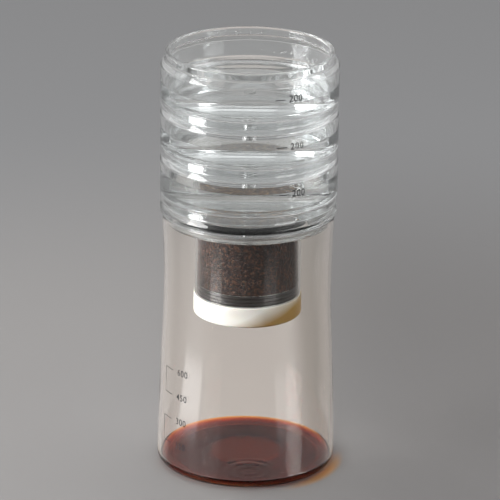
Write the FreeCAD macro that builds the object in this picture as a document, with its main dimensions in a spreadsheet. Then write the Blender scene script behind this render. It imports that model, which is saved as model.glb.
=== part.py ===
import FreeCAD, Part
import Sketcher

import math
import os

# Cold drip coffee tower: three stacked water modules, a brew chamber and a glass carafe.
# Millimetres, +Z up, origin at the centre of the carafe's foot on the table.

SIZES = {
    # Water modules and the neck that they share with the brew chamber
    "module_radius": 56.0,
    "module_wall": 2.5,
    "stack_pitch": 30.8,
    "neck_height": 5.6,
    "neck_wall": 3.2,
    "neck_clearance": 0.35,
    "shoulder_drop": 3.5,
    "shoulder_ledge": 0.8,
    "seam_gap": 0.3,
    "web_thickness": 2.2,
    "plug_depth": 13.2,
    "plug_wall": 2.1,
    "plug_clearance": 0.6,
    "plug_draft": 0.4,
    "floor_thickness": 2.2,
    # Drip nozzle in each module's floor
    "nozzle_bore_radius": 0.3,
    "nozzle_shank_radius": 1.5,
    "nozzle_head_radius": 2.3,
    "nozzle_head_height": 1.1,
    "nozzle_tip_length": 1.7,
    "nozzle_tip_radius": 0.8,
    "grommet_groove_radius": 2.9,
    "grommet_flange_radius": 3.9,
    "grommet_flange_height": 0.8,
    # Water in each module, measured down from the nozzle tip that a module above it has
    "water_gap_top": 5.3,
    "water_gap_middle": 3.7,
    "water_gap_bottom": 1.2,
    "film_gap": 0.1,
    # Brew chamber
    "flange_height": 12.3,
    "chamber_plug_wall": 1.55,
    "chamber_plug_depth": 6.6,
    "basin_thickness": 2.2,
    "cylinder_radius": 33.8,
    "cylinder_wall": 2.0,
    "cylinder_length": 48.2,
    "grounds_drop": 1.6,
    "crater_radius": 13.0,
    "crater_depth": 1.4,
    # Filter cap under the cylinder, sized from its outside and its bore
    "cap_overhang": 0.5,
    "cap_height": 13.3,
    "cap_wall": 2.0,
    "cap_foot_round": 1.6,
    "cap_ledge": 2.2,
    "collar_gap": 1.6,
    "collar_wall": 2.0,
    "collar_height": 8.1,
    "cap_floor_height": 7.0,
    "cap_floor_thickness": 2.0,
    "drain_hole_radius": 1.3,
    "drain_edge_margin": 2.1,
    "gasket_thickness": 0.9,
    "gasket_lip": 0.4,
    "gasket_height": 6.6,
    "gasket_foot_gap": 0.3,
    "paper_thickness": 0.3,
    "paper_clearance": 0.4,
    "bed_clearance": 0.3,
    # Glass carafe: its mouth fits the sealing ring, and its waist and base follow the mouth
    "carafe_height": 168.0,
    "carafe_wall": 2.0,
    "mouth_straight": 8.0,
    "waist_drop": 38.0,
    "waist_curve": 650.0,
    "join_drop": 32.0,
    "base_flare": 3.55,
    "base_corner": 6.0,
    "inner_corner": 4.0,
    "carafe_floor": 2.6,
    "foot_width": 4.8,
    "punt_radius": 25.0,
    "punt_slope": 4.0,
    "punt_rise": 1.3,
    "coffee_height": 5.6,
    # Silicone ring between the flange and the glass
    "ring_thickness": 1.0,
    "ring_lip": 0.45,
    "ring_lip_depth": 4.0,
    "ring_play": 0.41,
    "ring_edge_inset": 0.9,
    # Edge roundings
    "rim_round": 1.3,
    "edge_round": 0.8,
    "inner_round": 2.0,
    "glass_round": 0.8,
}

HOLE_RINGS = 4
HOLES_PER_RING_STEP = 6


class Size:
    """A number together with the spreadsheet expression that gives it."""

    def __init__(self, value, text):
        self.value = float(value)
        self.text = text

    def join(self, other, sign, result):
        return Size(result, "(%s %s %s)" % (self.text, sign, as_size(other).text))

    def __add__(self, other):
        return self.join(other, "+", self.value + as_size(other).value)

    def __sub__(self, other):
        return self.join(other, "-", self.value - as_size(other).value)

    def __mul__(self, other):
        return self.join(other, "*", self.value * as_size(other).value)

    def __truediv__(self, other):
        return self.join(other, "/", self.value / as_size(other).value)

    def root(self):
        return Size(math.sqrt(self.value), "sqrt(%s)" % self.text)


def as_size(value):
    if isinstance(value, Size):
        return value
    return Size(value, "%s" % value)


doc = FreeCAD.newDocument("ColdDripTower")
sheet = doc.addObject("Spreadsheet::Sheet", "Sizes")
size = {}
for row, (alias, value) in enumerate(SIZES.items(), start=1):
    sheet.set("A%d" % row, alias)
    sheet.set("B%d" % row, "%s" % value)
    sheet.setAlias("B%d" % row, alias)
    size[alias] = Size(value, "Sizes." + alias)
doc.recompute()


def bind(thing, name, amount):
    thing.setExpression(name, amount.text)


def origin_plane(body, role):
    for feature in body.Origin.OriginFeatures:
        if feature.Role == role:
            return feature
    raise RuntimeError("no plane " + role)


def new_body(label, height=None):
    body = doc.addObject("PartDesign::Body", label)
    body.Label = label
    if height is not None:
        bind(body, "Placement.Base.z", height)
    return body


def new_sketch(body, name, role="XZ_Plane"):
    sketch = body.newObject("Sketcher::SketchObject", body.Name + "_" + name)
    sketch.AttachmentSupport = [(origin_plane(body, role), "")]
    sketch.MapMode = "FlatFace"
    return sketch


class Bend:
    """An arc between two corners: a point near its middle, and its radius where that is set."""

    def __init__(self, radius_out, height, curve=None):
        self.middle = FreeCAD.Vector(as_size(radius_out).value, as_size(height).value, 0)
        self.curve = curve


class Outline:
    """A closed half section of (radius, height) corners, joined by lines or arcs."""

    def __init__(self, sketch):
        self.sketch = sketch
        self.corners = []
        self.bends = []
        self.smooth = []

    def to(self, radius, height, bend=None, smooth=False):
        """Adds a corner; a smooth one joins its two edges without a kink."""
        self.corners.append((as_size(radius), as_size(height)))
        self.bends.append(bend)
        self.smooth.append(smooth)
        return self

    def place(self, corner):
        return FreeCAD.Vector(corner[0].value, corner[1].value, 0)

    def edge(self, first, last, bend):
        if bend is None:
            return Part.LineSegment(self.place(first), self.place(last))
        return Part.Arc(self.place(first), bend.middle, self.place(last))

    def end_at(self, index, corner):
        start = self.sketch.getPoint(index, 1)
        return 1 if (start - self.place(corner)).Length < 1e-6 else 2

    def measure(self, kind, amount, *geometry):
        number = self.sketch.addConstraint(Sketcher.Constraint(kind, *geometry, amount.value))
        bind(self.sketch, "Constraints[%d]" % number, amount)

    def fix(self, index, point, direction, axis, amount):
        if amount.value == 0:
            self.sketch.addConstraint(Sketcher.Constraint("PointOnObject", index, point, axis))
        else:
            self.measure(direction, amount, -1, 1, index, point)

    def close(self):
        count = len(self.corners)
        ends = []
        for number in range(count):
            first = self.corners[number - 1]
            last = self.corners[number]
            index = self.sketch.addGeometry(self.edge(first, last, self.bends[number]), False)
            ends.append((index, self.end_at(index, first), self.end_at(index, last)))
        for number in range(count):
            index, _, end = ends[number]
            following, start, _ = ends[(number + 1) % count]
            kind = "Tangent" if self.smooth[number] else "Coincident"
            self.sketch.addConstraint(Sketcher.Constraint(kind, index, end, following, start))
            self.fix(index, end, "DistanceX", -2, self.corners[number][0])
            self.fix(index, end, "DistanceY", -1, self.corners[number][1])
            bend = self.bends[number]
            if bend is not None and bend.curve is not None:
                self.measure("Radius", bend.curve, index)


def revolve(body, sketch, kind="Revolution"):
    feature = body.newObject("PartDesign::" + kind, sketch.Name + "_" + kind.lower())
    feature.Profile = sketch
    feature.ReferenceAxis = (sketch, ["V_Axis"])
    feature.Angle = 360.0
    body.Tip = feature
    doc.recompute()
    return feature


def turned(label, corners, height=None):
    """A body turned from one half section of (radius, height, bend, smooth) corners."""
    body = new_body(label, height)
    outline = Outline(new_sketch(body, "section"))
    for corner in corners:
        outline.to(*corner)
    outline.close()
    doc.recompute()
    revolve(body, outline.sketch)
    return body


def circle_edges(shape, places):
    """The names of the circular edges at each (radius, height)."""
    names = []
    for number, edge in enumerate(shape.Edges, start=1):
        if not isinstance(edge.Curve, Part.Circle):
            continue
        for radius, height in places:
            near_radius = abs(edge.Curve.Radius - radius.value) < 0.01
            near_height = abs(edge.Curve.Center.z - height.value) < 0.01
            if near_radius and near_height:
                names.append("Edge%d" % number)
    if len(names) != len(places):
        raise RuntimeError("found %d edges for %d places" % (len(names), len(places)))
    return names


def rounded(body, name, radius, places):
    """Fillets the circular edges at the (radius, height) places of a turned body."""
    base = body.Tip
    fillet = body.newObject("PartDesign::Fillet", body.Name + "_" + name)
    fillet.Base = (base, circle_edges(base.Shape, [tuple(map(as_size, p)) for p in places]))
    bind(fillet, "Radius", radius)
    body.Tip = fillet
    doc.recompute()
    return fillet


def neck():
    """The inside of a module's wall, and the outside and inside of the neck that it sits on."""
    wall_in = size["module_radius"] - size["module_wall"]
    neck_out = wall_in - size["neck_clearance"]
    return wall_in, neck_out, neck_out - size["neck_wall"]


def chamber_plug():
    """The outside of the brew chamber's plug, which hangs in the carafe's mouth."""
    return neck()[2] + size["chamber_plug_wall"]


def water_module(label, seat):
    """A cup whose floor plugs into the mouth below; seat is the rim height that carries it."""
    wall_in, neck_out, neck_in = neck()
    plug_out = neck_in - size["plug_clearance"]
    plug_foot = plug_out - size["plug_draft"]
    cup_foot = plug_foot - size["plug_wall"]
    cup_top = plug_out - size["plug_wall"]
    web_low = size["plug_depth"]
    web_high = web_low + size["web_thickness"]
    rim = web_low + size["stack_pitch"]
    ledge = rim - size["neck_height"]
    shoulder = ledge - size["shoulder_drop"]
    skirt = web_low - size["neck_height"] + size["seam_gap"]
    floor = size["floor_thickness"]
    hole = size["grommet_groove_radius"]
    corners = [
        (hole, 0),
        (plug_foot, 0),
        (plug_out, web_low),
        (wall_in, web_low),
        (wall_in, skirt),
        (size["module_radius"], skirt),
        (size["module_radius"], shoulder),
        (neck_out + size["shoulder_ledge"], ledge),
        (neck_out, ledge),
        (neck_out, rim),
        (neck_in, rim),
        (neck_in, ledge),
        (wall_in, shoulder - size["edge_round"]),
        (wall_in, web_high),
        (cup_top, web_high),
        (cup_foot, floor),
        (hole, floor),
    ]
    body = turned(label, corners, seat - size["plug_depth"])
    rounded(body, "rim", size["rim_round"], [(neck_out, rim), (neck_in, rim)])
    rounded(body, "inner_corners", size["inner_round"], [(cup_foot, floor), (wall_in, web_high)])
    outer_edges = [
        (plug_foot, 0),
        (size["module_radius"], skirt),
        (size["module_radius"], shoulder),
        (cup_top, web_high),
    ]
    rounded(body, "outer_edges", size["edge_round"], outer_edges)
    return body


def nozzle_parts(label, seat):
    """The silicone grommet in a module's floor and the drip nozzle that it holds."""
    floor = size["floor_thickness"]
    shank = size["nozzle_shank_radius"]
    waist = size["grommet_groove_radius"]
    lip = size["grommet_flange_radius"]
    lip_height = size["grommet_flange_height"]
    # Both parts reach below the plug, so their own zero is the nozzle's tip
    below = size["nozzle_tip_length"]
    base = seat - size["plug_depth"] - below
    grommet_top = below + floor + lip_height
    grommet = [
        (shank, below - lip_height),
        (lip, below - lip_height),
        (lip, below),
        (waist, below),
        (waist, below + floor),
        (lip, below + floor),
        (lip, grommet_top),
        (shank, grommet_top),
    ]
    turned("nozzle_seal_" + label, grommet, base)
    bore = size["nozzle_bore_radius"]
    nozzle = [
        (bore, 0),
        (size["nozzle_tip_radius"], 0),
        (shank, below - lip_height),
        (shank, grommet_top),
        (size["nozzle_head_radius"], grommet_top),
        (size["nozzle_head_radius"], grommet_top + size["nozzle_head_height"]),
        (bore, grommet_top + size["nozzle_head_height"]),
    ]
    turned("drip_nozzle_" + label, nozzle, base)


def water_fill(label, seat):
    """The water in a module, up to a gap below the nozzle tip that a module above it has."""
    gap = size["film_gap"]
    wall_in, _, neck_in = neck()
    cup_top = neck_in - size["plug_clearance"] - size["plug_wall"]
    cup_foot = cup_top - size["plug_draft"]
    floor = size["floor_thickness"] + gap
    web_high = size["plug_depth"] + size["web_thickness"]
    surface = size["stack_pitch"] - size["nozzle_tip_length"] - size["water_gap_" + label]
    round_in = size["inner_round"]
    head_top = size["floor_thickness"] + size["grommet_flange_height"] + size["nozzle_head_height"]
    well = size["grommet_flange_radius"] + gap
    corners = [
        (0, head_top + gap),
        (well, head_top + gap),
        (well, floor),
        (cup_foot - gap - round_in, floor),
        (cup_foot - gap, floor + round_in),
        (cup_top - gap, web_high + gap),
        (wall_in - gap - round_in, web_high + gap),
        (wall_in - gap, web_high + gap + round_in),
        (wall_in - gap, surface),
        (0, surface),
    ]
    turned("water_" + label, corners, seat - size["plug_depth"])


def brew_chamber(chamber_rim):
    """Neck for the modules, flange on the glass, plug in its mouth and the coffee cylinder."""
    _, neck_out, neck_in = neck()
    ledge = chamber_rim - size["neck_height"]
    shoulder = ledge - size["shoulder_drop"]
    flange = chamber_rim - size["flange_height"]
    plug = chamber_plug()
    basin_low = flange - size["chamber_plug_depth"]
    basin_high = basin_low + size["basin_thickness"]
    cylinder = size["cylinder_radius"]
    bore = cylinder - size["cylinder_wall"]
    foot = basin_low - size["cylinder_length"]
    corners = [
        (bore, foot),
        (cylinder, foot),
        (cylinder, basin_low),
        (plug, basin_low),
        (plug, flange),
        (size["module_radius"], flange),
        (size["module_radius"], shoulder),
        (neck_out + size["shoulder_ledge"], ledge),
        (neck_out, ledge),
        (neck_out, chamber_rim),
        (neck_in, chamber_rim),
        (neck_in, basin_high),
        (bore, basin_high),
    ]
    body = turned("brew_chamber", corners)
    rounded(body, "rim", size["rim_round"], [(neck_out, chamber_rim), (neck_in, chamber_rim)])
    rounded(body, "basin", size["inner_round"], [(neck_in, basin_high), (cylinder, basin_low)])
    outer_edges = [
        (plug, basin_low),
        (size["module_radius"], flange),
        (size["module_radius"], shoulder),
        (bore, basin_high),
    ]
    rounded(body, "outer_edges", size["edge_round"], outer_edges)
    return body


def collar():
    """The outside and inside of the cap's collar, which stands in the cylinder's bore."""
    outside = size["cylinder_radius"] - size["cylinder_wall"] - size["collar_gap"]
    return outside, outside - size["collar_wall"]


def drain_holes(body, floor_low):
    """Rings of round holes, evenly pitched out to the margin of the cap's floor."""
    plate_top = floor_low + size["cap_floor_thickness"]
    outer_ring = collar()[1] - size["drain_edge_margin"] - size["drain_hole_radius"]
    pitch = outer_ring / HOLE_RINGS
    for ring in range(HOLE_RINGS + 1):
        sketch = new_sketch(body, "hole_of_ring_%d" % ring, "XY_Plane")
        add_hole(sketch, pitch * ring if ring else 0)
        pocket = cut_up_to(body, sketch, plate_top)
        if ring:
            pattern = body.newObject("PartDesign::PolarPattern", "%s_ring_%d" % (body.Name, ring))
            pattern.Originals = [pocket]
            pattern.Axis = (sketch, ["N_Axis"])
            pattern.Angle = 360.0
            pattern.Occurrences = HOLES_PER_RING_STEP * ring
            body.Tip = pattern
            doc.recompute()


def add_hole(sketch, offset):
    radius = size["drain_hole_radius"]
    place = FreeCAD.Vector(as_size(offset).value, 0, 0)
    index = sketch.addGeometry(Part.Circle(place, FreeCAD.Vector(0, 0, 1), radius.value), False)
    number = sketch.addConstraint(Sketcher.Constraint("Radius", index, radius.value))
    bind(sketch, "Constraints[%d]" % number, radius)
    sketch.addConstraint(Sketcher.Constraint("PointOnObject", index, 3, -1))
    if as_size(offset).value == 0:
        sketch.addConstraint(Sketcher.Constraint("PointOnObject", index, 3, -2))
        return
    constraint = Sketcher.Constraint("DistanceX", -1, 1, index, 3, offset.value)
    number = sketch.addConstraint(constraint)
    bind(sketch, "Constraints[%d]" % number, offset)


def cut_up_to(body, sketch, height):
    """Cuts from the body's own base plane up through the given height."""
    doc.recompute()
    before = body.Tip.Shape.Volume
    pocket = body.newObject("PartDesign::Pocket", sketch.Name + "_cut")
    pocket.Profile = sketch
    pocket.Reversed = True
    bind(pocket, "Length", height)
    body.Tip = pocket
    doc.recompute()
    if pocket.Shape.Volume >= before:
        raise RuntimeError(sketch.Name + " cuts nothing")
    return pocket


def filter_cap(cap_low):
    """Skirt, ledge under the cylinder, collar inside it and the perforated floor."""
    cap = size["cylinder_radius"] + size["cap_overhang"]
    skirt_in = cap - size["cap_wall"]
    ledge_high = size["cap_height"]
    ledge_low = ledge_high - size["cap_ledge"]
    collar_out, collar_in = collar()
    collar_top = ledge_high + size["collar_height"]
    floor_low = size["cap_floor_height"]
    floor_high = floor_low + size["cap_floor_thickness"]
    corners = [
        (0, floor_low),
        (collar_out, floor_low),
        (collar_out, ledge_low),
        (skirt_in, ledge_low),
        (skirt_in, 0),
        (cap, 0),
        (cap, ledge_high),
        (collar_out, ledge_high),
        (collar_out, collar_top),
        (collar_in, collar_top),
        (collar_in, floor_high),
        (0, floor_high),
    ]
    body = turned("filter_cap", corners, cap_low)
    drain_holes(body, floor_low)
    rounded(body, "foot", size["cap_foot_round"], [(cap, 0)])
    rounded(body, "edges", size["glass_round"], [(cap, ledge_high), (collar_out, floor_low)])
    return body


def filter_cap_seal(cap_low):
    """Lipped silicone band round the cap's collar, inside the cylinder's foot."""
    inside, _ = collar()
    band = inside + size["gasket_thickness"]
    lip = band + size["gasket_lip"]
    low = size["cap_height"] + size["gasket_foot_gap"]
    high = low + size["gasket_height"]
    step = size["gasket_height"] / 6
    corners = [
        (inside, low),
        (band, low),
        (lip, low + step),
        (band, low + step * 2),
        (lip, low + step * 3),
        (band, low + step * 4),
        (lip, low + step * 5),
        (band, high),
        (inside, high),
    ]
    return turned("filter_cap_seal", corners, cap_low)


def filter_paper(cap_low):
    """Round paper that lies on the cap's floor."""
    radius = collar()[1] - size["paper_clearance"]
    low = size["cap_floor_height"] + size["cap_floor_thickness"]
    corners = [
        (0, low),
        (radius, low),
        (radius, low + size["paper_thickness"]),
        (0, low + size["paper_thickness"]),
    ]
    return turned("filter_paper", corners, cap_low)


def coffee_grounds(cap_low, basin_high):
    """The packed bed, with the shallow crater that the drops wash into its top."""
    gap = size["bed_clearance"]
    narrow = collar()[1] - gap
    wide = size["cylinder_radius"] - size["cylinder_wall"] - size["film_gap"]
    paper_top = size["cap_floor_height"] + size["cap_floor_thickness"] + size["paper_thickness"]
    low = cap_low + paper_top + gap
    step = cap_low + size["cap_height"] + size["collar_height"] + gap
    high = basin_high - size["grounds_drop"]
    mouth = size["crater_radius"]
    depth = size["crater_depth"]
    # A dish of this radius is the crater's depth deep at the axis
    dish = (mouth * mouth + depth * depth) / (depth * 2)
    halfway = mouth / 2
    sag = dish - (dish * dish - halfway * halfway).root()
    corners = [
        (0, low),
        (narrow, low),
        (narrow, step),
        (wide, step),
        (wide, high),
        (mouth, high),
        (0, high - depth, Bend(halfway, high - depth + sag, dish)),
    ]
    return turned("coffee_grounds", corners)


def flare(curve, length):
    """How far an arc of the waist's curve stands out at this length above or below it."""
    return curve - (curve * curve - length * length).root()


def carafe_waist():
    """The outside radius at the waist that lets the sealing ring into the mouth."""
    mouth = chamber_plug() + size["ring_lip"] + size["ring_play"] + size["carafe_wall"]
    return mouth - flare(size["waist_curve"], size["waist_drop"])


def carafe_base():
    return carafe_waist() + size["base_flare"]


def glass_side(inset, start_height):
    """Corners of the carafe's side, moved in by inset: the join and the mouth's foot.

    A long outward bulge from the base runs into the hollow waist without a kink."""
    waist = carafe_waist() - inset
    curve = size["waist_curve"] + inset
    mouth = size["carafe_height"] - size["mouth_straight"]
    middle_height = mouth - size["waist_drop"]
    below = size["join_drop"]
    join = middle_height - below
    join_radius = waist + flare(curve, below)
    mouth_radius = waist + flare(curve, size["waist_drop"])
    base = carafe_base() - inset
    # The bulge stands out from its chord by a share of the turn that it makes
    length = (join - start_height).value
    turn = below.value / curve.value - (base - join_radius).value / length
    middle = (base + join_radius).value / 2 + turn * length / 4
    bulge = Bend(middle, (join + start_height) / 2)
    hollow = Bend(waist, middle_height, curve)
    return (join_radius, join), (mouth_radius, mouth), bulge, hollow


def corner_bend(centre_radius, centre_height, curve):
    """The quarter round between a floor below and a wall outside its centre."""
    reach = curve.value * math.sqrt(0.5)
    return Bend(centre_radius.value + reach, centre_height.value - reach, curve)


def inner_floor(floor):
    """Corners of the carafe's floor from the centre out to the foot of the low punt."""
    punt = size["punt_radius"]
    return [
        (0, floor + size["punt_rise"]),
        (punt - size["punt_slope"], floor + size["punt_rise"]),
        (punt, floor),
    ]


def carafe():
    """Waisted glass with a rounded foot, a low punt and a fire-polished rim."""
    wall = size["carafe_wall"]
    base = carafe_base()
    corner = size["base_corner"]
    inner_corner = size["inner_corner"]
    floor = size["carafe_floor"]
    rim = size["carafe_height"]
    outer_join, outer_mouth, outer_bulge, outer_hollow = glass_side(as_size(0), corner)
    start = floor + inner_corner
    inner_join, inner_mouth, inner_bulge, inner_hollow = glass_side(wall, start)
    foot_bend = corner_bend(base - corner, corner, corner)
    floor_bend = corner_bend(base - wall - inner_corner, start, inner_corner)
    corners = [
        (0, size["punt_rise"]),
        (size["punt_radius"], size["punt_rise"]),
        (base - corner - size["foot_width"], 0),
        (base - corner, 0),
        (base, corner, foot_bend),
        (*outer_join, outer_bulge, True),
        (*outer_mouth, outer_hollow),
        (outer_mouth[0], rim),
        (inner_mouth[0], rim),
        inner_mouth,
        (*inner_join, inner_hollow, True),
        (base - wall, start, inner_bulge),
        (base - wall - inner_corner, floor, floor_bend),
        *reversed(inner_floor(floor)),
    ]
    body = turned("carafe", corners)
    rounded(body, "rim", size["glass_round"], [(outer_mouth[0], rim), (inner_mouth[0], rim)])
    return body


def brewed_coffee():
    """The pool on the carafe's floor."""
    gap = size["film_gap"]
    floor = size["carafe_floor"] + gap
    wall = carafe_base() - size["carafe_wall"] - gap
    corner = size["inner_corner"]
    surface = size["coffee_height"]
    # The pool's edge follows the floor's rounded corner up to the surface
    rise = floor + corner - surface
    edge = wall - corner + (corner * corner - rise * rise).root()
    lean = Bend((wall - corner / 4), floor + corner / 4, corner)
    corners = [
        *inner_floor(floor),
        (wall - corner, floor),
        (edge, surface, lean),
        (0, surface),
    ]
    return turned("brewed_coffee", corners)


def carafe_seal(carafe_top):
    """L-shaped silicone ring: flat under the flange, with a lip down the chamber's plug."""
    inside = chamber_plug()
    lip = inside + size["ring_lip"]
    outside = size["module_radius"] - size["ring_edge_inset"]
    top = carafe_top + size["ring_thickness"]
    corners = [
        (inside, carafe_top - size["ring_lip_depth"]),
        (lip, carafe_top - size["ring_lip_depth"]),
        (lip, carafe_top),
        (outside, carafe_top),
        (outside, top),
        (inside, top),
    ]
    return turned("carafe_seal", corners)


carafe_top = size["carafe_height"]
chamber_rim = carafe_top + size["ring_thickness"] + size["flange_height"]
basin_low = carafe_top + size["ring_thickness"] - size["chamber_plug_depth"]
cap_low = basin_low - size["cylinder_length"] - size["cap_height"]

carafe()
brewed_coffee()
carafe_seal(carafe_top)
brew_chamber(chamber_rim)
coffee_grounds(cap_low, basin_low + size["basin_thickness"])
filter_cap(cap_low)
filter_cap_seal(cap_low)
filter_paper(cap_low)

for place, label in enumerate(["bottom", "middle", "top"]):
    seat = chamber_rim + size["stack_pitch"] * place
    water_module("water_module_" + label, seat)
    nozzle_parts(label, seat)
    water_fill(label, seat)

doc.recompute()

for thing in doc.Objects:
    if "Invalid" in thing.State or "Error" in thing.State:
        raise RuntimeError("%s failed: %s" % (thing.Label, thing.State))

bodies = [thing for thing in doc.Objects if thing.TypeId == "PartDesign::Body"]
for body in bodies:
    if body.Shape.isNull() or not body.Shape.isValid():
        raise RuntimeError("bad shape in " + body.Label)
    if len(body.Shape.Solids) != 1:
        raise RuntimeError("%s has %d solids" % (body.Label, len(body.Shape.Solids)))

os.makedirs("parts", exist_ok=True)
for body in bodies:
    body.Shape.exportStep("parts/%s.step" % body.Label)
    print("%-22s %9.2f cm3" % (body.Label, body.Shape.Volume / 1000))
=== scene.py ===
import math
import random

import bpy
from mathutils import Matrix, Vector


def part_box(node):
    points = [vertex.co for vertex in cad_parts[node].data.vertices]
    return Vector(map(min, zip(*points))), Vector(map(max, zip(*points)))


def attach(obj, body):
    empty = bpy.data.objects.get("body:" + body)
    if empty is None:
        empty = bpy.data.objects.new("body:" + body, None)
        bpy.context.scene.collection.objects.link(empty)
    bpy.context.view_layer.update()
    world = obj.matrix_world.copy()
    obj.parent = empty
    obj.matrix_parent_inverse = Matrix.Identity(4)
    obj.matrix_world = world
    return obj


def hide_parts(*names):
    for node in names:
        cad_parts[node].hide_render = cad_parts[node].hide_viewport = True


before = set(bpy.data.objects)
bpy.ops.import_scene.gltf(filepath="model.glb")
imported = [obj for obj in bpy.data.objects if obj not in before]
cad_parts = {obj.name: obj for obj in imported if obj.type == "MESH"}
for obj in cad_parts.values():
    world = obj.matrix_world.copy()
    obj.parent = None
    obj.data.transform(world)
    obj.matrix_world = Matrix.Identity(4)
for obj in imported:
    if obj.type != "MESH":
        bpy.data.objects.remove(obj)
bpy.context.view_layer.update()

mm = 0.001
weldDistance = mm / 500
levels = ["bottom", "middle", "top"]


# Small helpers for working as by hand

def nothingSelected():
    if bpy.context.object and bpy.context.object.mode != "OBJECT":
        bpy.ops.object.mode_set(mode="OBJECT")
    bpy.ops.object.select_all(action="DESELECT")


def onlySelected(*pieces):
    nothingSelected()
    for piece in pieces:
        piece.select_set(True)
    bpy.context.view_layer.objects.active = pieces[0]


def joined(pieces):
    onlySelected(*pieces)
    bpy.ops.object.join()
    return bpy.context.object


def finishPiece(piece, name, body, finish, angle=40):
    # applies the place, smooths the shading and puts the piece on its body
    onlySelected(piece)
    bpy.ops.object.transform_apply(location=True, rotation=True, scale=True)
    bpy.ops.object.shade_smooth_by_angle(angle=math.radians(angle))
    piece.name = name
    piece.data.materials.clear()
    piece.data.materials.append(finish)
    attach(piece, body)


def softCorners(corners, steps=5):
    # (radius, height, round) corners in millimetres; each round becomes an arc
    points = []
    for number, (radius, height, curve) in enumerate(corners):
        here = Vector((radius, height))
        if not curve:
            points.append(here)
            continue
        back = Vector(corners[number - 1][:2]) - here
        ahead = Vector(corners[(number + 1) % len(corners)][:2]) - here
        back.normalize()
        ahead.normalize()
        half = back.angle(ahead) / 2
        centre = here + (back + ahead).normalized() * (curve / math.sin(half))
        first = here + back * (curve / math.tan(half))
        last = here + ahead * (curve / math.tan(half))
        for step in range(steps + 1):
            outward = first.lerp(last, step / steps) - centre
            points.append(centre + outward.normalized() * curve)
    return points


def turned(points, sides, closed=True):
    # draws the half section by extruding one point along it, then spins it round the axis
    nothingSelected()
    start = Vector((points[0][0] * mm, 0, points[0][1] * mm))
    bpy.ops.mesh.primitive_plane_add(size=mm, location=start)
    piece = bpy.context.object
    bpy.ops.object.mode_set(mode="EDIT")
    bpy.ops.mesh.select_all(action="SELECT")
    bpy.ops.mesh.merge(type="CENTER")
    here = start
    following = list(points[1:]) + ([points[0]] if closed else [])
    for point in following:
        there = Vector((point[0] * mm, 0, point[1] * mm))
        bpy.ops.mesh.extrude_region_move(TRANSFORM_OT_translate={"value": there - here})
        here = there
    bpy.ops.mesh.select_all(action="SELECT")
    bpy.ops.mesh.remove_doubles(threshold=weldDistance)
    bpy.ops.mesh.spin(steps=sides, angle=math.tau, center=(0, 0, 0), axis=(0, 0, 1))
    bpy.ops.mesh.select_all(action="SELECT")
    bpy.ops.mesh.remove_doubles(threshold=weldDistance)
    bpy.ops.mesh.normals_make_consistent(inside=False)
    bpy.ops.object.mode_set(mode="OBJECT")
    return piece


# Shader maths written as plain expressions

class Wire:
    def __init__(self, finish, socket):
        self.finish = finish
        self.socket = socket

    def sum(self, operation, first, second):
        return self.finish.add("ShaderNodeMath", {"operation": operation}, {0: first, 1: second})

    def __add__(self, other):
        return self.sum("ADD", self, other)

    def __radd__(self, other):
        return self.sum("ADD", other, self)

    def __sub__(self, other):
        return self.sum("SUBTRACT", self, other)

    def __rsub__(self, other):
        return self.sum("SUBTRACT", other, self)

    def __mul__(self, other):
        return self.sum("MULTIPLY", self, other)

    def clamped(self):
        return self.finish.add("ShaderNodeClamp", {}, {"Value": self})


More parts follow.
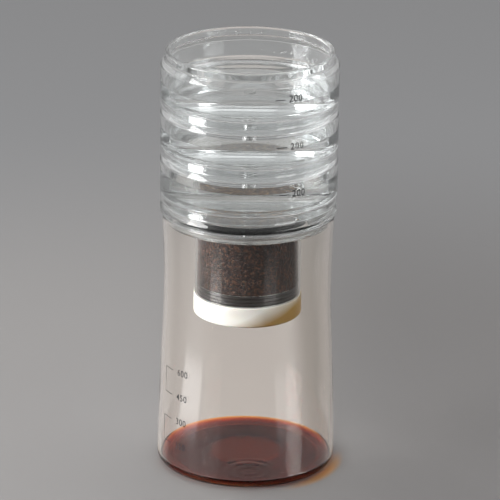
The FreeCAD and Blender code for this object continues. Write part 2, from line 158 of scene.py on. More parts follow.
class Finish:
    def __init__(self, name, world=None):
        self.material = world or bpy.data.materials.new(name)
        self.material.use_nodes = True
        self.tree = self.material.node_tree
        self.shader = self.tree.nodes["Background" if world else "Principled BSDF"]
        self.sheet = self.tree.nodes["World Output" if world else "Material Output"]

    def add(self, kind, settings, sockets, output=0):
        node = self.tree.nodes.new(kind)
        for key, value in settings.items():
            if key == "stops":
                for number, (place, colour) in enumerate(value):
                    stops = node.color_ramp.elements
                    stop = stops[number] if number < 2 else stops.new(place)
                    stop.position = place
                    stop.color = (*colour, 1)
            else:
                setattr(node, key, value)
        for key, value in sockets.items():
            if isinstance(value, Wire):
                self.tree.links.new(value.socket, node.inputs[key])
            else:
                node.inputs[key].default_value = value
        return Wire(self, node.outputs[output])

    def place(self, output="Object"):
        return self.add("ShaderNodeTexCoord", {}, {}, output)

    def axis(self, number):
        return self.add("ShaderNodeSeparateXYZ", {}, {0: self.place()}, number)

    def ray(self, name):
        return self.add("ShaderNodeLightPath", {}, {}, name)

    def noise(self, scale, detail=3.0):
        sockets = {"Vector": self.place(), "Scale": scale, "Detail": detail, "Roughness": 0.5}
        return self.add("ShaderNodeTexNoise", {}, sockets)

    def ramp(self, factor, stops):
        return self.add("ShaderNodeValToRGB", {"stops": stops}, {"Fac": factor})

    def between(self, value, start, full):
        sockets = {"Value": value, "From Min": start, "From Max": full}
        return self.add("ShaderNodeMapRange", {"interpolation_type": "SMOOTHSTEP"}, sockets)

    def band(self, value, rise, fall):
        return self.between(value, *rise) * (1.0 - self.between(value, *fall))

    def toward(self, way, direction, start, full):
        # rises to 1 where one direction points along the other
        sockets = {0: way, 1: direction}
        facing = self.add("ShaderNodeVectorMath", {"operation": "DOT_PRODUCT"}, sockets, "Value")
        return self.between(facing, start, full)

    def blend(self, factor, first, second):
        sockets = {0: factor, 6: first, 7: second}
        return self.add("ShaderNodeMix", {"data_type": "RGBA"}, sockets, 2)

    def bump(self, height, distance):
        sockets = {"Height": height, "Distance": distance, "Strength": 1.0}
        self.set(Normal=self.add("ShaderNodeBump", {}, sockets))

    def passLight(self, share):
        # lets the lamps shine through the clear walls onto what stands behind them
        factor = self.ray("Is Shadow Ray") * share
        clear = self.add("ShaderNodeBsdfTransparent", {}, {}, "BSDF")
        sockets = {0: factor, 1: Wire(self, self.shader.outputs["BSDF"]), 2: clear}
        both = self.add("ShaderNodeMixShader", {}, sockets)
        self.tree.links.new(both.socket, self.sheet.inputs["Surface"])

    def set(self, **values):
        for key, value in values.items():
            socket = self.shader.inputs[key.replace("_", " ")]
            if isinstance(value, Wire):
                self.tree.links.new(value.socket, socket)
            else:
                socket.default_value = value


def rgb(red, green, blue):
    return (red, green, blue, 1.0)


print("finishes")

clearValues = {
    "glass": {"tint": (0.985, 0.975, 0.96), "index": 1.47, "smear": 0.12, "wave": 0.00006},
    "plastic": {"tint": (0.985, 0.99, 0.99), "index": 1.49, "smear": 0.1, "wave": 0.00004},
    "smudgeScale": 38.0, "smudgeDetail": 4.0, "smudgeStart": 0.55, "waveScale": 22.0,
    "lightPassed": 0.95,
}


def clearFinish(name, kind):
    values = clearValues
    own = values[kind]
    finish = Finish(name)
    finish.set(Base_Color=rgb(*own["tint"]), IOR=own["index"], Transmission_Weight=1.0)
    smudges = finish.noise(values["smudgeScale"], values["smudgeDetail"])
    finish.set(Roughness=(smudges - values["smudgeStart"]).clamped() * own["smear"])
    finish.bump(finish.noise(values["waveScale"], 1.0), own["wave"])
    finish.passLight(values["lightPassed"])
    return finish.material


waterValues = {"tint": (0.99, 1.0, 1.0), "index": 1.333, "waveScale": 9.0, "wave": 0.00003}


def waterFinish():
    values = waterValues
    finish = Finish("standingWater")
    finish.set(Base_Color=rgb(*values["tint"]), IOR=values["index"])
    finish.set(Transmission_Weight=1.0, Roughness=0.0)
    finish.bump(finish.noise(values["waveScale"], 1.0), values["wave"])
    finish.passLight(clearValues["lightPassed"])
    return finish.material


coffeeValues = {
    "tint": (0.97, 0.75, 0.38), "index": 1.34, "depthTint": (0.73, 0.12, 0.0), "density": 820.0,
}


def coffeeFinish():
    # thin coffee is amber; it darkens with depth
    values = coffeeValues
    finish = Finish("brewedCoffee")
    finish.set(Base_Color=rgb(*values["tint"]), IOR=values["index"])
    finish.set(Transmission_Weight=1.0, Roughness=0.0)
    sockets = {"Color": rgb(*values["depthTint"]), "Density": values["density"]}
    depth = finish.add("ShaderNodeVolumeAbsorption", {}, sockets)
    finish.tree.links.new(depth.socket, finish.sheet.inputs["Volume"])
    return finish.material


groundsValues = {
    "grainScale": 900.0, "grainShare": 0.75, "clodScale": 60.0, "clodShare": 0.3,
    "washedDepth": 4.0, "washedEdge": 600.0, "roughness": 0.5, "grainLift": 0.0006,
    "packed": [(0.0, (0.002, 0.0006, 0.0003)), (0.4, (0.009, 0.0025, 0.001)),
               (0.75, (0.045, 0.013, 0.005)), (1.0, (0.16, 0.065, 0.028))],
    "washed": [(0.0, (0.005, 0.002, 0.001)), (0.4, (0.035, 0.018, 0.01)),
               (0.75, (0.17, 0.09, 0.045)), (1.0, (0.6, 0.38, 0.2))],
}


def groundsFinish():
    # dark wet grains behind the wall; paler, glistening ones on the washed top
    values = groundsValues
    finish = Finish("wetGrounds")
    sockets = {"Vector": finish.place(), "Scale": values["grainScale"]}
    grain = finish.add("ShaderNodeTexVoronoi", {}, sockets, "Color")
    shade = finish.add("ShaderNodeSeparateColor", {}, {0: grain}) * values["grainShare"]
    shade = shade + finish.noise(values["clodScale"]) * values["clodShare"]
    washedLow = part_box("coffee_grounds")[1].z - values["washedDepth"] * mm
    height = ((finish.axis(2) - washedLow) * values["washedEdge"]).clamped()
    packed = finish.ramp(shade, values["packed"])
    washed = finish.ramp(shade, values["washed"])
    finish.set(Base_Color=finish.blend(height, packed, washed), Roughness=values["roughness"])
    cells = finish.add("ShaderNodeTexVoronoi", {}, sockets, "Distance")
    finish.bump(1.0 - cells, values["grainLift"])
    return finish.material


capValues = {
    "cream": (0.73, 0.715, 0.67), "amber": (0.3, 0.18, 0.04), "collar": 8.1, "halfWidth": 34.0,
    "footTop": 0.4, "footLight": 1.2, "sideShade": 1.4, "mottleScale": 45.0, "mottle": 0.35,
    "leftLit": 0.06, "roughness": 0.32, "softLight": 0.15, "softDepth": 0.004,
    "grainScale": 700.0, "grainLift": 0.00003,
}


def capFinish():
    # cream plastic; the coffee-coloured light that comes through it towards its foot and the
    # shade on its right side, away from the window, are painted into its colour as amber
    values = capValues
    finish = Finish("creamCap")
    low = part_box("filter_cap")[0].z
    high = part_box("filter_cap")[1].z - values["collar"] * mm
    rise = (finish.axis(2) - low) * (1 / (high - low))
    side = finish.axis(0) * (1 / (values["halfWidth"] * mm))
    # painted light and shade: amber rises towards the foot and towards the shaded right side, and
    # the lit left stays cream; only the mottle is the plastic's own
    shadeLightAndMottle = (values["footTop"] - rise) * values["footLight"] + side * values["sideShade"]
    shadeLightAndMottle = shadeLightAndMottle + finish.noise(values["mottleScale"]) * values["mottle"] - values["leftLit"]
    colour = finish.blend(shadeLightAndMottle.clamped(), rgb(*values["cream"]), rgb(*values["amber"]))
    finish.set(Base_Color=colour, Roughness=values["roughness"])
    finish.set(Subsurface_Weight=values["softLight"], Subsurface_Scale=values["softDepth"])
    finish.bump(finish.noise(values["grainScale"]), values["grainLift"])
    return finish.material


plainValues = {
    "clearSilicone": {"colour": (0.9, 0.9, 0.89), "spread": 0.05, "rough": 0.2},
    "darkSilicone": {"colour": (0.022, 0.017, 0.015), "spread": 0.3, "rough": 0.38},
    "wetPaper": {"colour": (0.55, 0.38, 0.22), "spread": 0.25, "rough": 0.8,
                 "scale": 300.0, "lift": 0.0001},
    "scaleInk": {"colour": (0.02, 0.02, 0.022), "spread": 0.2, "rough": 0.45},
}


def plainFinish(name, colour, spread, rough, scale=120.0, lift=0.00005):
    # a moulded or woven surface: its colour wanders a little and it has a fine grain
    finish = Finish(name)
    darker = [part * (1 - spread) for part in colour]
    shade = finish.blend(finish.noise(scale), rgb(*darker), rgb(*colour))
    finish.set(Base_Color=shade, Roughness=rough)
    finish.bump(finish.noise(scale * 4), lift)
    return finish


carafeGlass = clearFinish("carafeGlass", "glass")
clearPlastic = clearFinish("clearPlastic", "plastic")
standingWater = waterFinish()
brewedCoffee = coffeeFinish()
wetGrounds = groundsFinish()
creamCap = capFinish()
plain = {name: plainFinish(name, **values) for name, values in plainValues.items()}
plain["clearSilicone"].set(Transmission_Weight=0.9, IOR=1.41)


print("water modules")

moduleSizes = {
    "outside": 56.0, "wall": 2.5, "pitch": 30.8, "neckHeight": 5.6, "neckWall": 3.2,
    "neckClearance": 0.35, "shoulderDrop": 3.5, "ledge": 0.8, "seamGap": 0.3,
    "webThickness": 2.2, "plugDepth": 13.2, "plugWall": 2.1, "plugClearance": 0.6,
    "plugDraft": 0.4, "floor": 2.2, "holeRadius": 2.9, "sides": 160,
    "edge": 0.8, "lip": 1.5, "skirtRound": 1.28, "shoulderRound": 1.2, "softRound": 0.4,
    "tightRound": 0.3, "underRound": 1.5, "innerCorner": 2.0,
}


def neckRadii(sizes):
    wallIn = sizes["outside"] - sizes["wall"]
    neckOut = wallIn - sizes["neckClearance"]
    return wallIn, neckOut, neckOut - sizes["neckWall"]


def modulePiece(level):
    sizes = moduleSizes
    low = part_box("water_module_" + level)[0].z / mm
    outside, edge = sizes["outside"], sizes["edge"]
    soft, tight, lip = sizes["softRound"], sizes["tightRound"], sizes["lip"]
    wallIn, neckOut, neckIn = neckRadii(sizes)
    plugOut = neckIn - sizes["plugClearance"]
    cupTop = plugOut - sizes["plugWall"]
    web = low + sizes["plugDepth"]
    rim = web + sizes["pitch"]
    ledge = rim - sizes["neckHeight"]
    shoulder = ledge - sizes["shoulderDrop"]
    skirt = web - sizes["neckHeight"] + sizes["seamGap"]
    corners = [
        (sizes["holeRadius"], low, 0),
        (plugOut - sizes["plugDraft"], low, edge),
        (plugOut, web, soft),
        (wallIn, web, soft),
        (wallIn, skirt, tight),
        (outside, skirt, sizes["skirtRound"]),
        (outside, shoulder, sizes["shoulderRound"]),
        (neckOut + sizes["ledge"], ledge, soft),
        (neckOut, ledge, tight),
        (neckOut, rim, lip),
        (neckIn, rim, lip),
        (neckIn, ledge, sizes["underRound"]),
        (wallIn, shoulder - edge, sizes["underRound"]),
        (wallIn, web + sizes["webThickness"], sizes["innerCorner"]),
        (cupTop, web + sizes["webThickness"], edge),
        (cupTop - sizes["plugDraft"], low + sizes["floor"], sizes["innerCorner"]),
        (sizes["holeRadius"], low + sizes["floor"], 0),
    ]
    piece = turned(softCorners(corners), sizes["sides"])
    finishPiece(piece, "clear_module_" + level, "water_module_" + level,
                clearPlastic)
    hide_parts("water_module_" + level)


fillSizes = {"lap": 0.12, "climb": 0.5, "meniscus": [(0.1, 0.35), (0.6, 0.05), (1.6, 0.0)]}


def waterPiece(level):
    # the water laps a little into the walls, so no film of air is left between them
    sizes = moduleSizes
    lap = fillSizes["lap"]
    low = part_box("water_module_" + level)[0].z / mm
    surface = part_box("water_" + level)[1].z / mm
    wallIn, neckOut, neckIn = neckRadii(sizes)
    cupTop = neckIn - sizes["plugClearance"] - sizes["plugWall"] + lap
    floor = low + sizes["floor"] - lap
    web = low + sizes["plugDepth"] + sizes["webThickness"] - lap
    corners = [
        (0, floor, 0),
        (cupTop - sizes["plugDraft"], floor, sizes["innerCorner"]),
        (cupTop, web, sizes["edge"]),
        (wallIn + lap, web, sizes["innerCorner"]),
        (wallIn + lap, surface + fillSizes["climb"], 0),
        *[(wallIn - inward, surface + rise, 0) for inward, rise in fillSizes["meniscus"]],
        (0, surface, 0),
    ]
    piece = turned(softCorners(corners), sizes["sides"], closed=False)
    finishPiece(piece, "water_fill_" + level, "water_module_" + level, standingWater)
    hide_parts("water_" + level)


for level in levels:
    modulePiece(level)
    waterPiece(level)


print("brew chamber")

chamberSizes = {
    "flangeHeight": 12.3, "plugRadius": 51.5, "plugDepth": 6.6, "basin": 2.2,
    "cylinder": 33.8, "cylinderWall": 2.0, "flangeRound": 0.2, "sides": 160,
}


def basinHeights():
    # underside and floor of the basin in the chamber's plug
    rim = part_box("brew_chamber")[1].z / mm
    low = rim - chamberSizes["flangeHeight"] - chamberSizes["plugDepth"]
    return low, low + chamberSizes["basin"]


def chamberPiece():
    sizes = chamberSizes
    shared = moduleSizes
    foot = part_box("brew_chamber")[0].z / mm
    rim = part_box("brew_chamber")[1].z / mm
    wallIn, neckOut, neckIn = neckRadii(shared)
    soft, tight, lip, edge = [shared[key] for key in ("softRound", "tightRound", "lip", "edge")]
    ledge = rim - shared["neckHeight"]
    flange = rim - sizes["flangeHeight"]
    basinLow, basinHigh = basinHeights()
    cylinder = sizes["cylinder"]
    bore = cylinder - sizes["cylinderWall"]
    corners = [
        (bore, foot, tight),
        (cylinder, foot, tight),
        (cylinder, basinLow, shared["innerCorner"]),
        (sizes["plugRadius"], basinLow, edge),
        (sizes["plugRadius"], flange, sizes["flangeRound"]),
        (shared["outside"], flange, edge),
        (shared["outside"], ledge - shared["shoulderDrop"], shared["shoulderRound"]),
        (neckOut + shared["ledge"], ledge, soft),
        (neckOut, ledge, tight),
        (neckOut, rim, lip),
        (neckIn, rim, lip),
        (neckIn, basinHigh, shared["innerCorner"]),
        (bore, basinHigh, edge),
    ]
    piece = turned(softCorners(corners), sizes["sides"])
    finishPiece(piece, "clear_brew_chamber", "brew_chamber", clearPlastic)
    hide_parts("brew_chamber")


chamberPiece()


print("carafe")

carafeSizes = {
    "waist": 53.25, "waistHeight": 122.0, "waistCurve": 650.0, "join": 90.0, "mouth": 160.0,
    "base": 56.8, "corner": 6.0, "innerCorner": 4.0, "wall": 2.0, "floor": 2.6,
    "foot": 46.0, "footRound": 2.0, "punt": 25.0, "puntRound": 3.0, "puntSlope": 4.0,
    "puntRise": 1.3, "rimRound": 0.95, "rings": (8, 165, 4), "steps": 7, "sides": 176,
}


def glassRadius(height):
    # the hollow waist above the join, and the long bulge that runs from it down to the base
    sizes = carafeSizes
    curve = sizes["waistCurve"]
    height = min(height, sizes["mouth"])
    if height >= sizes["join"]:
        away = height - sizes["waistHeight"]
        return sizes["waist"] + curve - math.sqrt(curve * curve - away * away)
    drop = sizes["waistHeight"] - sizes["join"]
    joinRadius = sizes["waist"] + curve - math.sqrt(curve * curve - drop * drop)
    slope = drop / curve
    length = sizes["join"] - sizes["corner"]
    bend = (slope * length - (sizes["base"] - joinRadius)) / (length * length)
    below = sizes["join"] - height
    return joinRadius + slope * below - bend * below * below


def carafePiece():
    sizes = carafeSizes
    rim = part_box("carafe")[1].z / mm
    wall, floor, punt = sizes["wall"], sizes["floor"], sizes["punt"]
    outer = [(glassRadius(height), height, 0) for height in range(*sizes["rings"])]
    inner = [(radius - wall, height, 0) for radius, height, _ in reversed(outer)]
    mouth = glassRadius(rim)
    corners = [
        (0, sizes["puntRise"], 0),
        (punt, sizes["puntRise"], sizes["puntRound"]),
        (sizes["foot"], 0, sizes["footRound"]),
        (glassRadius(0), 0, sizes["corner"]),
        *outer,
        (mouth, rim, sizes["rimRound"]),
        (mouth - wall, rim, sizes["rimRound"]),
        *inner,
        (glassRadius(floor) - wall, floor, sizes["innerCorner"]),
        (punt, floor, sizes["puntRound"]),
        (punt - sizes["puntSlope"], floor + sizes["puntRise"], sizes["puntRound"]),
        (0, floor + sizes["puntRise"], 0),
    ]
    piece = turned(softCorners(corners, sizes["steps"]), sizes["sides"], closed=False)
    finishPiece(piece, "glass_carafe", "carafe", carafeGlass)
    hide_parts("carafe")


poolSizes = {
    "lap": 0.1, "corner": 2.8, "climb": 0.7, "meniscus": [(0.5, 0.3), (1.6, 0.0)],
    "rings": 50, "rippleAcross": 2.0, "rippleAhead": -37.0, "rippleLength": 6.5,
    "rippleHeight": 0.34, "rippleReach": 20.0,
}


def rippleHeight(x, y):
    # rings left by the last drop
    sizes = poolSizes
    away = math.hypot(x - sizes["rippleAcross"], y - sizes["rippleAhead"])
    fade = math.exp(-((away / sizes["rippleReach"]) ** 4))
    return sizes["rippleHeight"] * math.cos(math.tau * away / sizes["rippleLength"]) * fade


def coffeePiece():
    # the pool laps into the glass, climbs a little at its wall and carries the rings
    sizes = poolSizes
    glass = carafeSizes
    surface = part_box("brewed_coffee")[1].z / mm - sizes["rippleHeight"]
    floor = glass["floor"] - sizes["lap"]
    wall = glassRadius(surface) - glass["wall"] + sizes["lap"]
    corners = [
        (0, floor + glass["puntRise"], 0),
        (glass["punt"] - glass["puntSlope"], floor + glass["puntRise"], glass["puntRound"]),
        (glass["punt"], floor, glass["puntRound"]),
        (wall, floor, sizes["corner"]),
        (wall, surface + sizes["climb"], 0),
        *[(wall - inward, surface + rise, 0) for inward, rise in sizes["meniscus"]],
        *[(radius, surface, 0) for radius in range(sizes["rings"], -1, -1)],
    ]
    piece = turned(softCorners(corners, glass["steps"]), glass["sides"], closed=False)
    bpy.ops.object.transform_apply(location=True, rotation=True, scale=True)
    for point in piece.data.vertices:
        if abs(point.co.z - surface * mm) < mm / 100:
            point.co.z += rippleHeight(point.co.x / mm, point.co.y / mm) * mm
    finishPiece(piece, "coffee_pool", "carafe", brewedCoffee)
    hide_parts("brewed_coffee")


carafePiece()
coffeePiece()


print("coffee bed")

bedSizes = {
    "narrow": 27.85, "overCollar": 30.3, "wide": 31.78, "capGap": 0.3, "collarGap": 0.1,
    "settled": 1.4, "chamfer": 0.4, "crater": 13.0, "craterDepth": 1.4, "ring": 0.5,
    "sides": 420, "clod": 7.0, "clodRelief": 0.4, "grain": 1.3, "relief": 0.7,
}


def grainRelief(piece, name, kind, size, strength):
    # a displaced surface: the grains stand back from the wall that they press against
    pattern = bpy.data.textures.new(name, kind)
    pattern.noise_scale = size * mm
    relief = piece.modifiers.new(name, "DISPLACE")
    relief.texture = pattern
    relief.texture_coords = "LOCAL"
    relief.strength = strength * mm
    relief.mid_level = 1.0
    bpy.ops.object.modifier_apply(modifier=name)


def bedTop(radius, sunk=0):
    # the drops wash a shallow crater into the bed
    away = min(radius / bedSizes["crater"], 1)
    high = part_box("coffee_grounds")[1].z / mm
    return (radius, high - sunk - bedSizes["craterDepth"] * (1 - away * away))


def bedPiece():
    sizes = bedSizes
    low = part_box("coffee_grounds")[0].z / mm
    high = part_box("coffee_grounds")[1].z / mm
    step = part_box("filter_cap")[1].z / mm + sizes["capGap"]
    settled = step - sizes["settled"]
    wide, narrow, collar = sizes["wide"], sizes["narrow"], sizes["overCollar"]
    rows = int((high - step) / sizes["ring"])
    rings = int(wide / sizes["ring"])
    corners = [
        (0, low), (narrow, low), (narrow, step - sizes["collarGap"]),
        (collar, step - sizes["collarGap"]), (collar, settled),
        (wide - sizes["chamfer"], settled), (wide, settled + sizes["chamfer"]),
        *[(wide, step + (high - step) * row / rows) for row in range(rows)],
        *[bedTop(wide * ring / rings) for ring in range(rings - 1, -1, -1)],
    ]
    piece = turned(corners, sizes["sides"], closed=False)
    grainRelief(piece, "clods", "CLOUDS", sizes["clod"], sizes["clodRelief"])
    grainRelief(piece, "grains", "VORONOI", sizes["grain"], sizes["relief"])
    finishPiece(piece, "ground_coffee", "brew_chamber", wetGrounds, 180)
    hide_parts("coffee_grounds")


standingSizes = {
    "lap": 0.1, "sunk": 1.4, "rings": (0, 30, 2),
    "boreEdge": [(0.0, -0.8), (0.3, -0.1)], "basinCorner": [(-2.0, 0.0), (-0.5, 0.6), (0.0, 2.0)],
}


def standingPiece():
    # water that stands on the bed and in the basin, up to the bottom cup's floor
    sizes = standingSizes
    lap, sunk = sizes["lap"], sizes["sunk"]
    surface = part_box("water_module_bottom")[0].z / mm + lap / 2
    bore = chamberSizes["cylinder"] - chamberSizes["cylinderWall"] + lap
    basin = basinHeights()[1] - lap
    neckIn = neckRadii(moduleSizes)[2] + lap
    corners = [
        *[bedTop(radius, sunk) for radius in range(*sizes["rings"])], bedTop(bore, sunk),
        *[(bore + outward, basin + rise) for outward, rise in sizes["boreEdge"]],
        *[(neckIn + outward, basin + rise) for outward, rise in sizes["basinCorner"]],
        (neckIn, surface), (0, surface),
    ]
    piece = turned(corners, chamberSizes["sides"], closed=False)
    finishPiece(piece, "standing_water", "brew_chamber", standingWater)


bedPiece()
standingPiece()


print("cap, seals and nozzles")

keptNodes = {
    "filter_cap": creamCap, "filter_cap_seal": plain["darkSilicone"].material,
    "filter_paper": plain["wetPaper"].material, "carafe_seal": plain["clearSilicone"].material,
}
for level in levels:
    keptNodes["drip_nozzle_" + level] = clearPlastic
    keptNodes["nozzle_seal_" + level] = plain["clearSilicone"].material
for nodeName, finish in keptNodes.items():
    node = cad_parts[nodeName]
    node.data.materials.clear()
    node.data.materials.append(finish)


print("printed scales")

printValues = {
    "depth": 0.05, "stroke": 0.5, "thinStroke": 0.4, "textSize": 6.2, "textSqueeze": 0.95,
    "thicker": 0.03, "spread": 1.12, "markDrop": 16.7, "dash": 6.8, "digitStep": 10.6,
    "dashTurn": {"top": 19.7, "middle": 21.2, "bottom": 22.9},
    "carafeMarks": ["150", "300", "450", "600"], "firstMark": 21.2, "markStep": 16.35,
    "cornerTurn": -67.0, "tickTurn": -57.5, "digitTurn": -47.5, "bracketLift": 0.03,
}


def wrapped(piece, turn, height, radius):
    # rolls a flat print round the wall; turn 0 is the front
    onlySelected(piece)
    bpy.ops.object.transform_apply(location=True, rotation=True, scale=True)
    for point in piece.data.vertices:
        reach = radius * mm + point.co.z
        angle = math.radians(turn) + point.co.x / (radius * mm)
        rise = height * mm + point.co.y
        point.co = Vector((math.sin(angle) * reach, -math.cos(angle) * reach, rise))
    return piece


def digits(words, turn, height, radius):
    nothingSelected()
    bpy.ops.object.text_add(location=(0, 0, 0))
    piece = bpy.context.object
    piece.data.body = words
    piece.data.align_x = "CENTER"
    piece.data.align_y = "CENTER"
    piece.data.size = printValues["textSize"] * mm
    piece.data.extrude = printValues["depth"] * mm
    piece.data.offset = printValues["thicker"] * mm
    piece.data.space_character = printValues["spread"]
    piece.data.resolution_u = 6
    piece.scale = (printValues["textSqueeze"], 1, 1)
    bpy.ops.object.convert(target="MESH")
    return wrapped(piece, turn, height, radius)


def stroke(width, tall, turn, height, radius):
    nothingSelected()
    bpy.ops.mesh.primitive_cube_add(size=mm)
    piece = bpy.context.object
    size = (width, tall, printValues["depth"] * 2)
    bpy.ops.object.mode_set(mode="EDIT")
    bpy.ops.transform.resize(value=size, center_override=(0, 0, 0))
    bpy.ops.mesh.subdivide(number_cuts=7)
    bpy.ops.object.mode_set(mode="OBJECT")
    return wrapped(piece, turn, height, radius)


def modulePrint(level):
    values = printValues
    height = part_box("water_module_" + level)[1].z / mm - values["markDrop"]
    turn = values["dashTurn"][level]
    radius = moduleSizes["outside"]
    dash = stroke(values["dash"], values["stroke"], turn, height, radius)
    number = digits("200", turn + values["digitStep"], height, radius)
    finishPiece(joined([dash, number]), "volume_mark_" + level, "water_module_" + level,
                plain["scaleInk"].material, 30)


def carafePrint():
    # four numbered ticks; an upright stroke joins each pair of them
    values = printValues
    corner, tick, thin = values["cornerTurn"], values["tickTurn"], values["thinStroke"]
    pieces = []
    heights = []
    for number, words in enumerate(values["carafeMarks"]):
        height = values["firstMark"] + values["markStep"] * number
        radius = glassRadius(height)
        span = math.radians(tick - corner) * radius
        pieces.append(digits(words, values["digitTurn"], height, radius))
        pieces.append(stroke(span, thin, (tick + corner) / 2, height, radius))
        heights.append(height)
    for low, high in zip(heights[::2], heights[1::2]):
        middle = (low + high) / 2
        radius = glassRadius(middle) + values["bracketLift"]
        pieces.append(stroke(thin, high - low, corner, middle, radius))
    finishPiece(joined(pieces), "carafe_scale", "carafe",
                plain["scaleInk"].material, 30)


for level in levels:
    modulePrint(level)
carafePrint()


print("droplets")

dropValues = {
    "seed": 4, "sizes": (0.35, 0.8), "flat": 0.55, "stretch": (0.9, 1.25),
    "beads_back": {"count": 9, "turns": (168, 196), "drops": (4.5, 2.5)},
    "beads_wall": {"count": 12, "turns": (140, 176), "drops": (17.5, 15.0)},
    "beads_right": {"count": 6, "turns": (128, 140), "drops": (19.0, 16.0)},
}


def dropBand(name, radius):
    # beads of water on the inside of the top cup, a few millimetres below its rim
    band = dropValues[name]
    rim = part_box("water_module_top")[1].z / mm
    lowest, highest = [rim - drop for drop in band["drops"]]
    chance = random.Random(dropValues["seed"] + band["count"])
    pieces = []
    for number in range(band["count"]):
        size = chance.uniform(*dropValues["sizes"])
        turn = math.radians(chance.uniform(*band["turns"]))
        height = chance.uniform(lowest, highest)
        place = Vector((math.sin(turn) * radius, -math.cos(turn) * radius, height)) * mm
        nothingSelected()
        bpy.ops.mesh.primitive_ico_sphere_add(subdivisions=3, radius=size * mm, location=place)
        bead = bpy.context.object
        bead.rotation_euler = (0, 0, turn)
        bead.scale = (1, dropValues["flat"], chance.uniform(*dropValues["stretch"]))
        bpy.ops.object.transform_apply(location=True, rotation=True, scale=True)
        pieces.append(bead)
    finishPiece(joined(pieces), name, "water_module_top", standingWater, 180)


dropBand("beads_back", neckRadii(moduleSizes)[2])
dropBand("beads_wall", neckRadii(moduleSizes)[0])
dropBand("beads_right", neckRadii(moduleSizes)[0])


print("floor, backdrop and lights")

floorValues = {
    "radius": 3.5, "roughness": 0.6, "sheen": 2.0, "rightShare": 0.4,
    "sheenLeft": (-0.94, -0.342, 0), "sheenRight": (0.754, -0.657, 0),
}
floorTints = {
    "near": (0.268, 0.258, 0.254), "far": (0.225, 0.225, 0.23), "right": (0.165, 0.158, 0.156),
    "amberLight": (0.36, 0.19, 0.07), "throughGlass": (0.46, 0.42, 0.395),
    "throughRight": (0.3, 0.27, 0.245), "throughFar": (0.29, 0.29, 0.29),
    "warmFoot": (0.85, 0.6, 0.38), "inFront": (0.03, 0.026, 0.023),
}
floorSpans = {           # where each tint starts and is full, in metres
    "far": (0.25, 0.75), "right": (-0.1, 0.12), "amberRise": (0.052, 0.057),
    "amberFall": (0.058, 0.064), "amberAcross": (0.02, 0.05), "amberCorner": (0.045, 0.075),
    "throughRight": (0.028, 0.05), "warmRise": (0.03, 0.045), "warmFall": (0.058, 0.066),
    "warmBack": (-0.01, 0.03), "sheenRise": (0.1, 0.2), "sheenFall": (0.26, 0.36),
    "sheenWay": (0.962, 0.98), "behind": (0.5, 0.75),        # these two are cosines
}


def onwardOf(finish):
    # how far a ray that meets the floor runs away from the camera
    turn = {"convert_from": "WORLD", "convert_to": "CAMERA"}
    back = finish.add("ShaderNodeNewGeometry", {}, {}, "Incoming")
    back = finish.add("ShaderNodeVectorTransform", turn, {0: back})
    return finish.add("ShaderNodeSeparateXYZ", {}, {0: back}, 2) * -1.0


def floorPiece():
    values = floorValues
    spans = floorSpans
    tint = {key: rgb(*value) for key, value in floorTints.items()}
    nothingSelected()
    bpy.ops.mesh.primitive_circle_add(vertices=96, radius=values["radius"], fill_type="NGON")
    floor = bpy.context.object
    floor.name = "studio_floor"
    finish = Finish("paleFloor")
    place, across, ahead = finish.place(), finish.axis(0), finish.axis(1)
    away = finish.add("ShaderNodeVectorMath", {"operation": "LENGTH"}, {0: place}, "Value")
    far = finish.between(away, *spans["far"])
    # painted shade: the table darkens towards the right, away from the window
    near = finish.blend(finish.between(across, *spans["right"]), tint["near"], tint["right"])
    # coffee-coloured light that leaves the glass foot on the side away from the window
    glow = finish.band(away, spans["amberRise"], spans["amberFall"])
    glow = glow * finish.between(across - ahead, *spans["amberCorner"])
    glow = glow * finish.between(across, *spans["amberAcross"])
    near = finish.blend(glow, near, tint["amberLight"])
    colour = finish.blend(far, near, tint["far"])
    # painted light: rays through the clear walls see a paler, lit copy of the table behind them,
    # with painted shade on the right and painted coffee-coloured light at the foot
    through = finish.ray("Is Transmission Ray")
    direct = (1.0 - finish.ray("Diffuse Depth")).clamped()
    behind = finish.between(onwardOf(finish), *spans["behind"])
    rightSide = finish.between(across, *spans["throughRight"])
    seen = finish.blend(rightSide, tint["throughGlass"], tint["throughRight"])
    warm = finish.band(away, spans["warmRise"], spans["warmFall"])
    warm = warm * finish.between(ahead, *spans["warmBack"])
    seen = finish.blend(far, finish.blend(warm, seen, tint["warmFoot"]), tint["throughFar"])
    colour = finish.blend(through * direct * behind, colour, seen)
    # painted reflection: what they mirror from the front is painted dim, but for the sheen of the
    # two windows on the table, which is painted as a glow
    mirrored = (through + finish.ray("Is Glossy Ray")).clamped() * direct * (1.0 - behind)
    colour = finish.blend(mirrored, colour, tint["inFront"])
    way = finish.add("ShaderNodeVectorMath", {"operation": "NORMALIZE"}, {0: place}, "Vector")
    left = finish.toward(way, values["sheenLeft"], *spans["sheenWay"])
    right = finish.toward(way, values["sheenRight"], *spans["sheenWay"])
    sheen = finish.band(away, spans["sheenRise"], spans["sheenFall"])
    sheen = (left + right * values["rightShare"]) * sheen * mirrored
    finish.set(Emission_Color=finish.blend(sheen, rgb(0, 0, 0), rgb(1, 1, 1)))
    finish.set(Emission_Strength=values["sheen"])
    finish.set(Base_Color=colour, Roughness=values["roughness"])
    floor.data.materials.append(finish.material)


skyValues = {
    "wall": 0.27, "wallThrough": 0.2, "top": 0.42, "left": 0.75, "right": 0.3, "dim": 0.13,
}


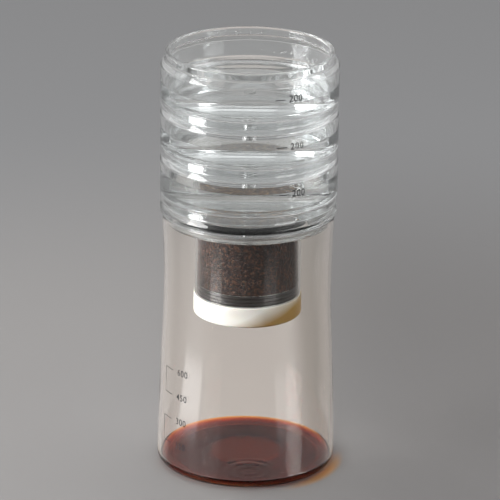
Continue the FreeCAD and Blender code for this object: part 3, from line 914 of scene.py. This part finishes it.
def backdrop():
    # a dim room behind the camera, a grey wall behind the tower, light from above and both sides
    world = bpy.data.worlds.new("studio")
    bpy.context.scene.world = world
    room = Finish("studioRoom", world)
    way = room.place("Generated")
    wall = room.toward(way, (0, 1, 0), -0.5, 0.2) * skyValues["wall"]
    above = room.toward(way, (0, 0, 1), 0.25, 0.85) * skyValues["top"]
    left = room.toward(way, (-0.93, 0.2, 0.3), 0.5, 0.92) * skyValues["left"]
    right = room.toward(way, (0.9, 0.3, 0.3), 0.6, 0.95) * skyValues["right"]
    wall = wall * (1.0 + room.ray("Is Transmission Ray") * skyValues["wallThrough"])
    room.set(Color=wall + above + left + right + skyValues["dim"], Strength=1.0)


lampValues = {
    "window_left": {"azimuth": -72, "elevation": 16, "distance": 1.4, "size": (0.62, 1.0),
                    "power": 23.0},
    "window_right": {"azimuth": 50, "elevation": 18, "distance": 1.5, "size": (0.7, 0.8),
                     "power": 5.0},
    "soft_top": {"azimuth": 160, "elevation": 60, "distance": 1.5, "size": (1.2, 0.8),
                 "power": 2.0},
}


def softLight(name, azimuth, elevation, distance, size, power):
    # azimuth 0 is in front; it aims at the middle of the tower
    aim = Vector((0, 0, 0.13))
    turn = math.radians(azimuth)
    lift = math.radians(elevation)
    reach = math.cos(lift)
    away = Vector((math.sin(turn) * reach, -math.cos(turn) * reach, math.sin(lift)))
    light = bpy.data.lights.new(name, "AREA")
    light.shape = "RECTANGLE"
    light.size, light.size_y = size
    light.energy = power
    lamp = bpy.data.objects.new(name, light)
    bpy.context.scene.collection.objects.link(lamp)
    lamp.location = aim + away * distance
    lamp.rotation_euler = away.to_track_quat("Z", "Y").to_euler()


floorPiece()
backdrop()
for lampName, values in lampValues.items():
    softLight(lampName, **values)


print("camera")

cameraValues = {
    "distance": 2.331, "height": 0.967, "sideStep": 0.0013, "pitch": 19.51, "roll": 0.73,
    "focalPixels": 3900.0, "imagePixels": 500.0, "sensor": 36.0,
}


def cameraPiece():
    values = cameraValues
    lens = bpy.data.cameras.new("view")
    lens.sensor_width = values["sensor"]
    lens.lens = values["focalPixels"] / values["imagePixels"] * values["sensor"]
    lens.clip_end = 50
    camera = bpy.data.objects.new("view", lens)
    bpy.context.scene.collection.objects.link(camera)
    tilt = Matrix.Rotation(math.radians(90 - values["pitch"]), 4, "X")
    roll = Matrix.Rotation(math.radians(values["roll"]), 4, "Z")
    place = Vector((values["sideStep"], -values["distance"], values["height"]))
    camera.matrix_world = Matrix.Translation(place) @ tilt @ roll
    bpy.context.scene.camera = camera


cameraPiece()
bpy.context.scene.view_settings.view_transform = "Standard"
# light crosses many clear walls before it leaves the cups
bpy.context.scene.cycles.max_bounces = 32
bpy.context.scene.cycles.transmission_bounces = 32
bpy.context.scene.cycles.glossy_bounces = 16
bpy.context.scene.cycles.transparent_max_bounces = 32

nothingSelected()
